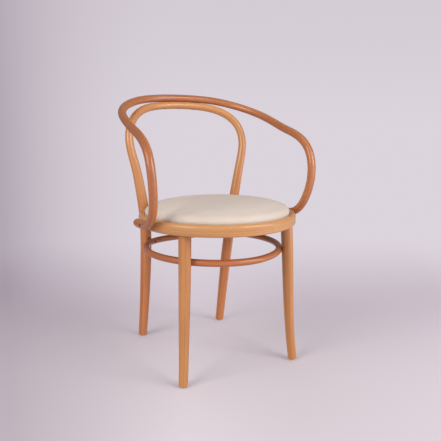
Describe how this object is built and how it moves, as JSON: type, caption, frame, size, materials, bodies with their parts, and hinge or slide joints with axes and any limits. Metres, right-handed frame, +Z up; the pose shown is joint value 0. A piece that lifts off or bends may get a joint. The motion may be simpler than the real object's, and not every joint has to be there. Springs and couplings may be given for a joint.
{
  "type": "bentwood armchair",
  "caption": "Bentwood armchair with a padded round seat, a bent hoop for back and rear legs, a continuous bent crest and arm rail, and a ring stretcher between its splayed legs.",
  "frame": {"origin": "on the floor under the middle of the chair's overall width and depth", "axes": "+Z up, the chair faces -Y, +X towards the right-hand side of a person who looks at its front"},
  "size_m": [0.5026, 0.4966, 0.7615],
  "materials": {
    "seat_wood": "clear satin lacquer on golden beech",
    "bent_wood": "clear satin lacquer on steamed beech, a little redder",
    "plywood": "plain birch plywood",
    "foam": "cut polyurethane foam",
    "cover": "smooth cream leather, low sheen",
    "lining": "black non-woven cloth",
    "staple_wire": "galvanised wire",
    "zinc_steel": "zinc plated",
    "insert_brass": "plain turned brass",
    "bronzed_steel": "dark bronzed steel",
    "nylon": "moulded pale translucent nylon"
  },
  "bodies": {
    "root": {"seat_ring": "seat_wood", "front_leg_left": "seat_wood", "front_leg_right": "seat_wood", "back_hoop": "bent_wood", "arm_rail": "bent_wood", "stretcher_ring": "bent_wood", "seat_board": "plywood", "seat_foam": "foam", "seat_cover": "cover", "seat_lining": "lining", "cover_staples": "staple_wire", "seat_screws": "zinc_steel", "seat_washers": "zinc_steel", "rear_leg_bolts": "zinc_steel", "rear_leg_washers": "zinc_steel", "rear_leg_inserts": "insert_brass", "tenon_screws": "zinc_steel", "stretcher_screws": "bronzed_steel", "crest_screws": "bronzed_steel", "arm_end_screws": "bronzed_steel", "foot_glides": "nylon", "glide_nails": "zinc_steel"}
  },
  "joints": []
}
